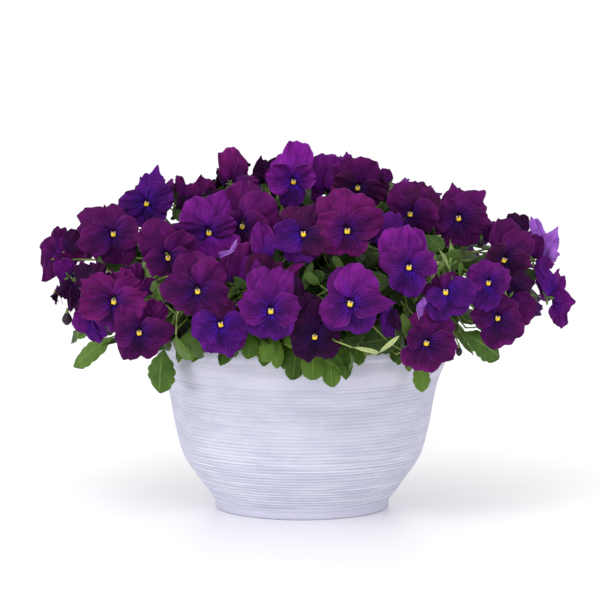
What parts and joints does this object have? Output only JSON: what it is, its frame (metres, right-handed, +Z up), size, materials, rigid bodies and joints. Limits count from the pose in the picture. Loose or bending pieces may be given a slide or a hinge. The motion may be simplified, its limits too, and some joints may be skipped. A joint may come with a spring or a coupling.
{
  "type": "potted pansy planter",
  "caption": "Grooved round patio bowl filled with soil and a mound of purple pansies with toothed green leaves.",
  "frame": {"origin": "middle of the pot's flat underside", "axes": "+Z up along the axis of the pot, the front of the planter towards -Y"},
  "size_m": [0.4957, 0.463, 0.3553],
  "materials": {
    "petals_plum": "deep plum, velvety, darker veins, blue violet by the throat",
    "petals_blue": "blue violet, velvety",
    "petals_violet": "bright violet, velvety",
    "petals_magenta": "magenta purple, velvety",
    "petals_night": "blackish plum, velvety",
    "petals_pale": "light violet petal backs",
    "leaf_and_stem": "mid green, softly glossy, paler along the ribs and edges",
    "pot_shell": "lavender white, whitewashed in uneven brushed streaks, matt",
    "potting_soil": "dark brown, crumbly, moist"
  },
  "bodies": {
    "root": {"bloom_01": "petals_plum", "bloom_02_31": "petals_blue", "bloom_03": "petals_plum", "bloom_04_05_11_15_34_35_36_37": "petals_violet", "bloom_06_10_48": "petals_plum", "bloom_07_08_30": "petals_magenta", "bloom_09": "petals_violet", "bloom_12_13": "petals_violet", "bloom_14_38_39": "petals_violet", "bloom_16": "petals_night", "bloom_17": "petals_plum", "bloom_18": "petals_plum", "bloom_19_20_21_24_45_46": "petals_violet", "bloom_22_49": "petals_night", "bloom_23": "petals_plum", "bloom_25_26": "petals_night", "bloom_27_28": "petals_night", "bloom_29": "petals_pale", "bloom_32_33": "petals_plum", "bloom_40": "petals_night", "bloom_41": "petals_blue", "bloom_42": "petals_violet", "bloom_43_44_47": "petals_pale", "bloom_50": "petals_blue", "bloom_51": "petals_plum", "bloom_52": "petals_violet", "bloom_53": "petals_violet", "bloom_54": "petals_plum", "bloom_55": "petals_blue", "bloom_56": "petals_violet", "bloom_57": "petals_violet", "bloom_58": "petals_night", "bloom_59": "petals_plum", "bloom_60": "petals_violet", "bloom_61": "petals_magenta", "bloom_62": "petals_plum", "bloom_63": "petals_violet", "bloom_64": "petals_blue", "bloom_65": "petals_plum", "bloom_66": "petals_night", "bloom_67": "petals_violet", "bloom_68": "petals_plum", "bloom_69": "petals_plum", "bloom_70": "petals_violet", "bloom_71": "petals_violet", "bloom_72": "petals_violet", "bloom_73": "petals_magenta", "bloom_74": "petals_violet", "bloom_75": "petals_night", "bloom_76": "petals_night", "bloom_77": "petals_violet", "plant_1": "leaf_and_stem", "plant_2": "leaf_and_stem", "plant_3": "leaf_and_stem", "plant_4": "leaf_and_stem", "pot": "pot_shell", "soil": "potting_soil"}
  },
  "joints": []
}
